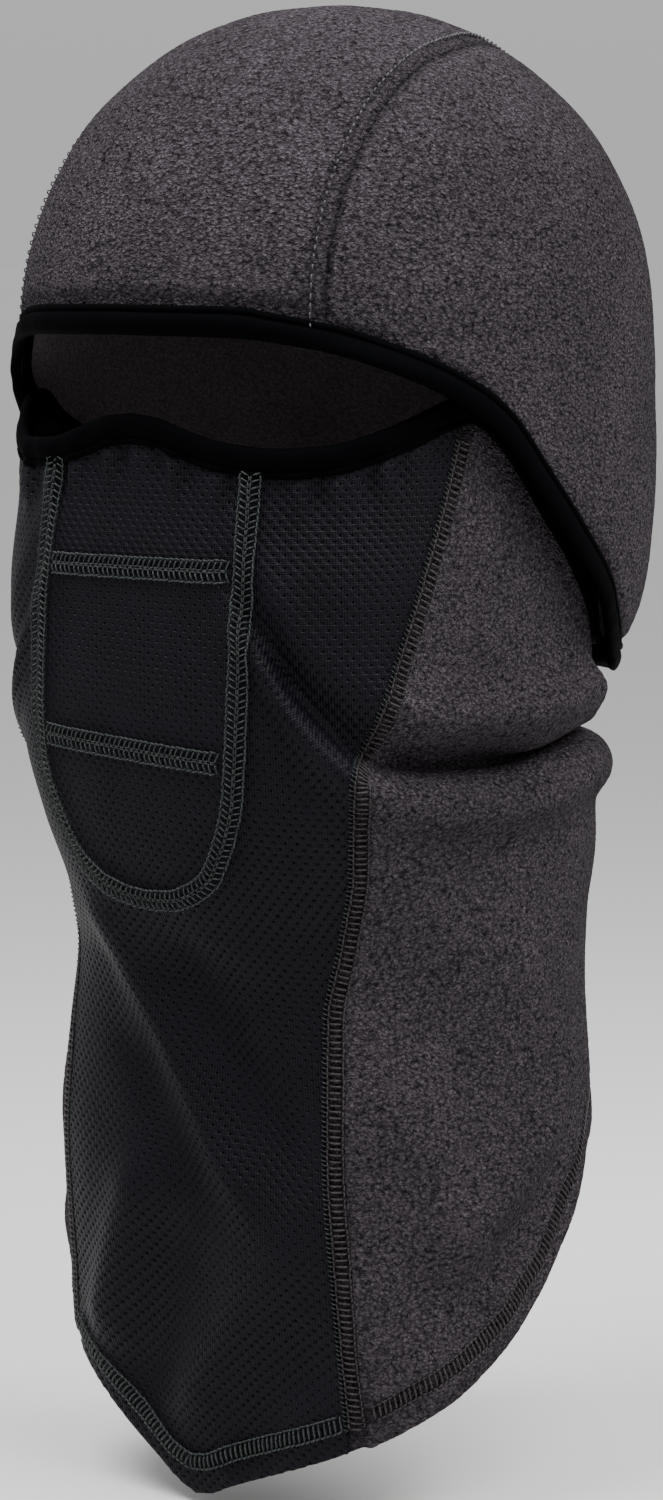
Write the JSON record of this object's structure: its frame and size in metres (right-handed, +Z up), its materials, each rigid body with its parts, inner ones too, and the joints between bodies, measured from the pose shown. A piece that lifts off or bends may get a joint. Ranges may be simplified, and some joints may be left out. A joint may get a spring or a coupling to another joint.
{
  "type": "balaclava",
  "caption": "Hinged fleece balaclava with a tip-back hood, a perforated mesh face mask with a mouth patch, bound edges and a long neck tube with a pointed front bib.",
  "frame": {"origin": "the point inside the crown that rests on top of the wearer's head", "axes": "+Z up, the face looks towards -Y, the wearer's left side is +X"},
  "size_m": [0.1712, 0.2077, 0.4345],
  "materials": {
    "fleece": "nubby brushed fleece, matte",
    "mesh_fabric": "smooth perforated knit, matte",
    "binding": "soft elastic tape, slight sheen",
    "thread": "flatlock thread, slight sheen",
    "fleece_thread": "overlock thread, matte"
  },
  "bodies": {
    "neck": {"neck_front_panel": "mesh_fabric", "neck_left_panel": "fleece", "neck_right_panel": "fleece", "neck_left_seam_stitch": "fleece_thread", "neck_right_seam_stitch": "fleece_thread", "neck_back_seam_stitch": "fleece_thread", "front_hem_fold": "mesh_fabric", "left_hem_fold": "fleece", "right_hem_fold": "fleece", "front_hem_stitch": "thread", "left_hem_stitch": "fleece_thread", "right_hem_stitch": "fleece_thread", "nape_tape": "binding"},
    "mask": {"mask_front_panel": "mesh_fabric", "nose_panel": "mesh_fabric", "mouth_panel": "mesh_fabric", "chin_panel": "mesh_fabric", "mask_left_cheek": "fleece", "mask_right_cheek": "fleece", "mask_binding": "binding", "patch_edge_stitch": "thread", "upper_cross_stitch": "thread", "lower_cross_stitch": "thread", "mask_left_seam_stitch": "fleece_thread", "mask_right_seam_stitch": "fleece_thread"},
    "hood": {"hood_center_panel": "fleece", "hood_left_panel": "fleece", "hood_right_panel": "fleece", "hood_binding": "binding", "hood_left_seam_stitch": "fleece_thread", "hood_right_seam_stitch": "fleece_thread"}
  },
  "joints": [
    {"name": "hood_back", "type": "hinge", "parent": "neck", "child": "hood", "pos_m": [0, 0.083, -0.1985], "axis": [-1, 0, 0], "range_deg": [0, 120]},
    {"name": "mask_down", "type": "slide", "parent": "neck", "child": "mask", "axis": [0, 0, -1], "range_m": [0, 0.065]}
  ]
}
